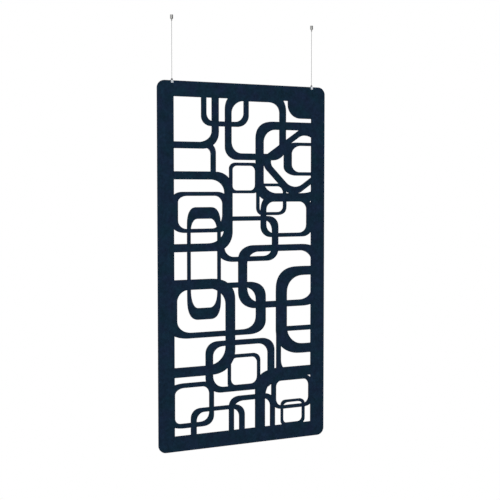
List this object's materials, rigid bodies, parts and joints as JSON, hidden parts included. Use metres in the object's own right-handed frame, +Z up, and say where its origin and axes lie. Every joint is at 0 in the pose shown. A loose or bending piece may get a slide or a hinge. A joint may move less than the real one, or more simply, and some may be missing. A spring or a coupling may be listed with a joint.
{
  "type": "hanging room divider panel",
  "caption": "Tall flat screen of thick felt, cut through with overlapping rounded loops, hung from the ceiling on two thin steel wires with ball-lock grippers and edge clamps.",
  "frame": {"origin": "on the ceiling plane, midway between the two ceiling fixings", "axes": "+X to the right as seen from the front, +Y to the back of the sheet, +Z up"},
  "size_m": [1.2, 0.0217, 2.814],
  "materials": {
    "felt": "matt pressed polyester felt, dark navy",
    "fitting_metal": "satin nickel plate",
    "clamp_metal": "bright plate",
    "wire_steel": "stranded stainless wire",
    "spring_steel": "drawn spring wire",
    "ball_steel": "polished hardened steel",
    "screw_steel": "dark zinc plate"
  },
  "bodies": {
    "ceiling": {"left_ceiling_base": "fitting_metal", "right_ceiling_base": "fitting_metal", "left_gripper_housing": "fitting_metal", "right_gripper_housing": "fitting_metal", "left_gripper_spring": "spring_steel", "right_gripper_spring": "spring_steel", "left_wire_held_end": "wire_steel", "right_wire_held_end": "wire_steel"},
    "left_nozzle": {"left_release_nozzle": "fitting_metal", "left_lock_balls": "ball_steel"},
    "right_nozzle": {"right_release_nozzle": "fitting_metal", "right_lock_balls": "ball_steel"},
    "left_bend": {"left_wire_bend": "wire_steel"},
    "right_bend": {"right_wire_bend": "wire_steel"},
    "left_wire": {"left_wire": "wire_steel"},
    "right_wire": {"right_wire": "wire_steel", "right_wire_ball_end": "ball_steel"},
    "left_ball": {"left_wire_ball_end": "ball_steel"},
    "sheet": {"panel": "felt", "left_cone_cap": "fitting_metal", "right_cone_cap": "fitting_metal", "left_clamp_stud": "fitting_metal", "right_clamp_stud": "fitting_metal", "left_clamp_bracket": "clamp_metal", "right_clamp_bracket": "clamp_metal", "left_pressure_plate": "fitting_metal", "right_pressure_plate": "fitting_metal", "left_clamp_screw": "screw_steel", "right_clamp_screw": "screw_steel"}
  },
  "joints": [
    {"name": "left_nozzle_push", "type": "slide", "parent": "ceiling", "child": "left_nozzle", "axis": [0, 0, 1], "range_m": [0, 0.002], "stiffness_N_per_m": 1500, "springref_m": -0.001, "deforming": ["left_gripper_spring"]},
    {"name": "right_nozzle_push", "type": "slide", "parent": "ceiling", "child": "right_nozzle", "axis": [0, 0, 1], "range_m": [0, 0.002], "stiffness_N_per_m": 1500, "springref_m": -0.001, "deforming": ["right_gripper_spring"]},
    {"name": "wires_swing", "type": "hinge", "parent": "ceiling", "child": "left_bend", "pos_m": [-0.5, 0, -0.0394], "axis": [1, 0, 0], "range_deg": [-10, 10]},
    {"name": "right_wire_swing", "type": "hinge", "parent": "ceiling", "child": "right_bend", "pos_m": [0.5, 0, -0.0394], "axis": [1, 0, 0], "range_deg": [-10, 10]},
    {"name": "left_wire_sway", "type": "hinge", "parent": "left_bend", "child": "left_wire", "pos_m": [-0.5, 0, -0.0454], "axis": [0, 1, 0], "range_deg": [-10, 10]},
    {"name": "right_wire_sway", "type": "hinge", "parent": "right_bend", "child": "right_wire", "pos_m": [0.5, 0, -0.0454], "axis": [0, 1, 0], "range_deg": [-10, 10]},
    {"name": "sheet_sway", "type": "hinge", "parent": "left_wire", "child": "left_ball", "pos_m": [-0.5, 0, -0.4055], "axis": [0, 1, 0], "range_deg": [-10, 10]},
    {"name": "sheet_tilt", "type": "hinge", "parent": "left_ball", "child": "sheet", "pos_m": [-0.5, 0, -0.4055], "axis": [1, 0, 0], "range_deg": [-10, 10]}
  ],
  "couplings": [
    {"joint": "right_wire_swing", "follows": "wires_swing", "ratio": 1},
    {"joint": "left_wire_sway", "follows": "sheet_sway", "ratio": -1},
    {"joint": "right_wire_sway", "follows": "sheet_sway", "ratio": -1}
  ]
}
